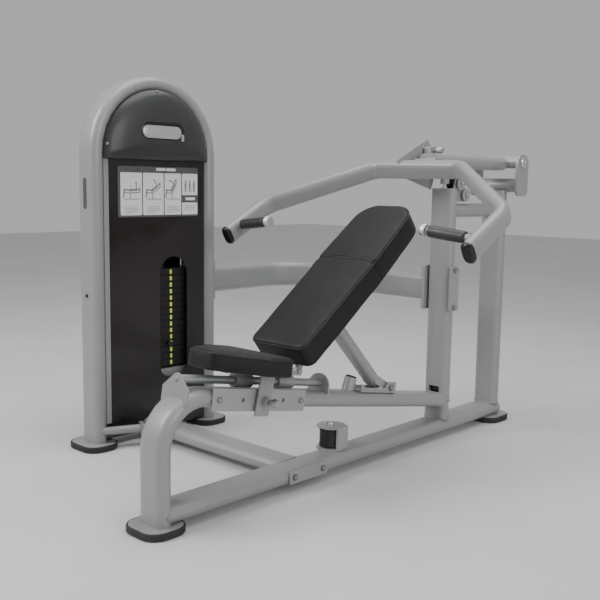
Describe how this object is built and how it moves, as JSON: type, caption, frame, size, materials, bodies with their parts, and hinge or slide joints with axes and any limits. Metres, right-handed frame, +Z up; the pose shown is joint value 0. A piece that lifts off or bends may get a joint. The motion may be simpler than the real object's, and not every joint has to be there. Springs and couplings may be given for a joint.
{
  "type": "chest press machine",
  "caption": "Selectorised press bench with a sliding seat, hinged back pad, U-shaped press arm on a rear pivot and a weight tower at the side.",
  "frame": {"origin": "on the floor, at the centre of the rear foot's sole", "axes": "+Z up, +X to the left of a user lying on the bench, +Y toward the user's head; the weight tower stands at -X"},
  "size_m": [1.5115, 1.987, 1.429],
  "materials": {
    "silver_paint": "satin silver-grey powder coat",
    "bracket_paint": "satin silver-grey powder coat, a shade lighter",
    "shroud_plastic": "dark brown-grey sheet, fine matt grain",
    "cowl_gloss": "glossy charcoal moulding",
    "placard_print": "printed laminate",
    "upholstery": "charcoal leatherette over foam",
    "foot_rubber": "moulded black rubber",
    "grip_rubber": "soft textured grip",
    "black_plastic": "moulded black plastic",
    "end_aluminium": "turned and polished",
    "bright_steel": "bright plated",
    "pulley_nylon": "black nylon",
    "weight_iron": "dark painted plates"
  },
  "bodies": {
    "frame": {"arm_stop_buffer": "bracket_paint", "arm_stop_screw": "bright_steel", "back_shroud": "shroud_plastic", "base_pulley_bracket": "bracket_paint", "base_tube": "silver_paint", "bench_bumper": "bracket_paint", "bench_frame": "silver_paint", "bench_guide_rod": "bright_steel", "connecting_arm": "silver_paint", "cross_joint_plate": "silver_paint", "cross_tube": "silver_paint", "foot_front": "foot_rubber", "foot_rear": "foot_rubber", "foot_tower_front": "foot_rubber", "foot_tower_rear": "foot_rubber", "front_shroud": "shroud_plastic", "guide_placard": "placard_print", "main_upright": "silver_paint", "pivot_carrier": "silver_paint", "pivot_shaft": "bright_steel", "pulley_bracket": "bracket_paint", "rear_upright": "silver_paint", "resting_plates": "weight_iron", "seat_index_plate": "bracket_paint", "stack_cushion": "foot_rubber", "stack_plinth": "bracket_paint", "stack_rod_front": "bright_steel", "stack_rod_rear": "bright_steel", "strut_clevis": "silver_paint", "tie_tube": "silver_paint", "top_cowl": "cowl_gloss", "tower_frame": "silver_paint", "tower_head_beam": "bracket_paint", "upright_clamp_plate": "bracket_paint"},
    "stem": {"press_stem": "silver_paint", "arm_adjust_shaft": "bright_steel"},
    "arm": {"press_arm": "silver_paint", "arm_index_plate": "bracket_paint", "arm_end_cap_left": "black_plastic", "arm_end_cap_right": "black_plastic", "grip_left": "grip_rubber", "grip_right": "grip_rubber", "grip_end_left": "end_aluminium", "grip_end_right": "end_aluminium"},
    "arm_pin": {"arm_index_pin": "bright_steel"},
    "seat": {"seat_carriage": "silver_paint", "seat_pad": "upholstery"},
    "seat_catch": {"seat_pin": "bright_steel"},
    "back": {"back_frame": "silver_paint", "back_pad": "upholstery"},
    "strut": {"back_strut": "silver_paint"},
    "stack": {"lifted_plates": "weight_iron", "top_plate": "weight_iron", "selector_stem": "bright_steel", "lift_cable": "black_plastic"},
    "selector": {"selector_pin": "black_plastic"},
    "upper_wheel": {"upper_pulley": "pulley_nylon"},
    "lower_wheel": {"lower_pulley": "pulley_nylon"},
    "base_wheel": {"base_pulley": "pulley_nylon"},
    "head_wheel": {"head_pulley": "pulley_nylon"}
  },
  "joints": [
    {"name": "press_swing", "type": "hinge", "parent": "frame", "child": "stem", "pos_m": [0, 0.026, 1.13], "axis": [-1, 0, 0], "range_deg": [0, 35]},
    {"name": "arm_start_tilt", "type": "hinge", "parent": "stem", "child": "arm", "pos_m": [0, -0.525, 1.088], "axis": [-1, 0, 0], "range_deg": [-30, 8]},
    {"name": "arm_pin_pull", "type": "slide", "parent": "stem", "child": "arm_pin", "axis": [1, 0, 0], "range_m": [0, 0.012]},
    {"name": "seat_slide", "type": "slide", "parent": "frame", "child": "seat", "axis": [0, 0.9848, -0.1736], "range_m": [-0.08, 0.1]},
    {"name": "seat_pin_pull", "type": "slide", "parent": "seat", "child": "seat_catch", "axis": [1, 0, 0], "range_m": [0, 0.012]},
    {"name": "back_tilt", "type": "hinge", "parent": "seat", "child": "back", "pos_m": [0, -1.2768, 0.40763], "axis": [1, 0, 0], "range_deg": [-15, 18.7]},
    {"name": "strut_swing", "type": "hinge", "parent": "frame", "child": "strut", "pos_m": [0, -0.75827, 0.26746], "axis": [1, 0, 0], "range_deg": [-9.5, 7.6]},
    {"name": "stack_lift", "type": "slide", "parent": "frame", "child": "stack", "axis": [0, 0, 1], "range_m": [0, 0.306]},
    {"name": "selector_pull", "type": "slide", "parent": "stack", "child": "selector", "axis": [1, 0, 0], "range_m": [0, 0.045]},
    {"name": "upper_pulley_turn", "type": "hinge", "parent": "frame", "child": "upper_wheel", "pos_m": [0, -0.318, 1.034], "axis": [1, 0, 0], "range_deg": [0, 730]},
    {"name": "lower_pulley_turn", "type": "hinge", "parent": "frame", "child": "lower_wheel", "pos_m": [0, -0.279, 0.989], "axis": [1, 0, 0], "range_deg": [0, 730]},
    {"name": "base_pulley_turn", "type": "hinge", "parent": "frame", "child": "base_wheel", "pos_m": [-0.02, -1.03, 0.1216], "axis": [0, 0, 1], "range_deg": [0, 440]},
    {"name": "head_pulley_turn", "type": "hinge", "parent": "frame", "child": "head_wheel", "pos_m": [-0.869, -1.098, 1.193], "axis": [1, 0, 0], "range_deg": [0, 390]}
  ],
  "couplings": [
    {"joint": "back_tilt", "follows": "seat_slide", "rad_per_m": 3.25},
    {"joint": "strut_swing", "follows": "seat_slide", "rad_per_m": -1.65},
    {"joint": "stack_lift", "follows": "press_swing", "m_per_rad": 0.5},
    {"joint": "upper_pulley_turn", "follows": "press_swing", "ratio": 20.83},
    {"joint": "lower_pulley_turn", "follows": "press_swing", "ratio": 20.83},
    {"joint": "base_pulley_turn", "follows": "press_swing", "ratio": 12.5},
    {"joint": "head_pulley_turn", "follows": "press_swing", "ratio": 11.11}
  ]
}
